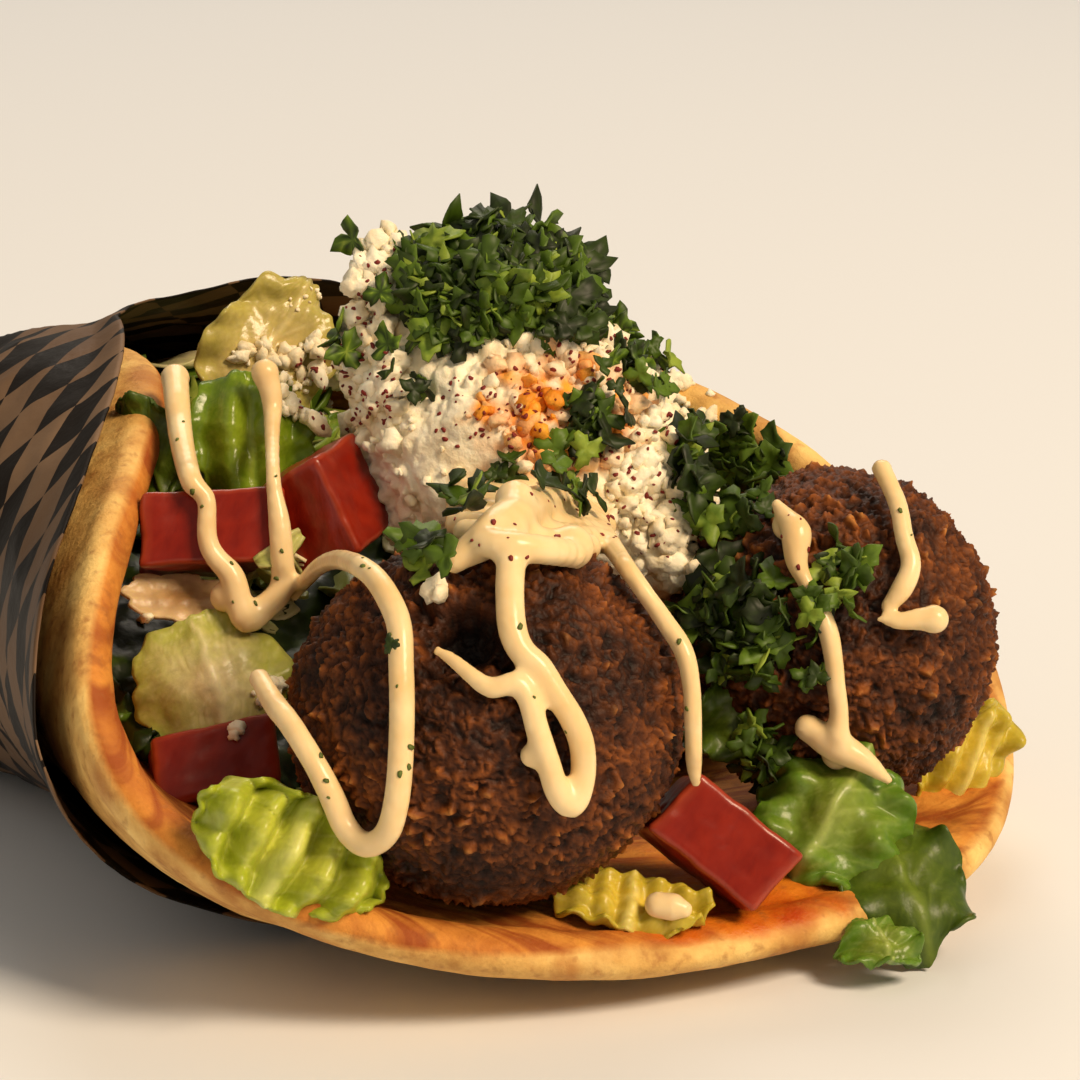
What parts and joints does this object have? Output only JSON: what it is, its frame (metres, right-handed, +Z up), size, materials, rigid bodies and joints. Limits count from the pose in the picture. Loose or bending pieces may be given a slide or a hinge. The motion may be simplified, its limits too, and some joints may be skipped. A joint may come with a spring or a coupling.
{
  "type": "falafel pita",
  "caption": "Folded flatbread in a checked paper sleeve, lying open towards one end and heaped with falafel, salad, crumbled cheese and parsley.",
  "frame": {"origin": "middle of the part's box, on the surface that it lies on", "axes": "+Z up; +Y along the fold from the open lip to the closed tail; +X to the right when the lip faces the viewer"},
  "size_m": [0.132, 0.223, 0.0798],
  "materials": {
    "flatbread": "griddled flatbread, pale floury gold edge with orange-brown streaks, matt",
    "checked_paper": "greaseproof paper printed with a brown and near-black diamond check, satin",
    "fried_crust": "fried chickpea crumb, dark brown, coarse",
    "tomato": "fresh tomato dice, wet",
    "glossy_leaf": "oiled crisp green leaf, blistered",
    "dark_leaf": "dark green lettuce, satin",
    "bright_leaf": "bright green romaine, satin",
    "pale_leaf": "pale lettuce rib, translucent, wet",
    "yellow_leaf": "yellow lettuce heart, satin",
    "onion": "raw onion slice, translucent",
    "crumbled_cheese": "crumbled white cheese with cream sauce, matt",
    "parsley": "chopped fresh parsley",
    "salad": "packed salad inside the fold, in shade"
  },
  "bodies": {
    "root": {"pita": "flatbread", "paper_wrap": "checked_paper", "falafel_front": "fried_crust", "falafel_right": "fried_crust", "tomato_left": "tomato", "tomato_middle": "tomato", "tomato_low": "tomato", "tomato_front": "tomato", "leaf_glossy": "glossy_leaf", "leaf_dark_left": "dark_leaf", "leaf_back": "pale_leaf", "onion_slice": "onion", "lettuce_pale": "pale_leaf", "lettuce_left": "bright_leaf", "lettuce_front": "yellow_leaf", "leaf_dark_middle": "dark_leaf", "leaf_green_right": "bright_leaf", "lettuce_yellow": "yellow_leaf", "leaf_dark_right": "dark_leaf", "leaf_bright_low": "bright_leaf", "cheese_mound": "crumbled_cheese", "parsley_pile": "parsley", "salad_filling": "salad"}
  },
  "joints": []
}
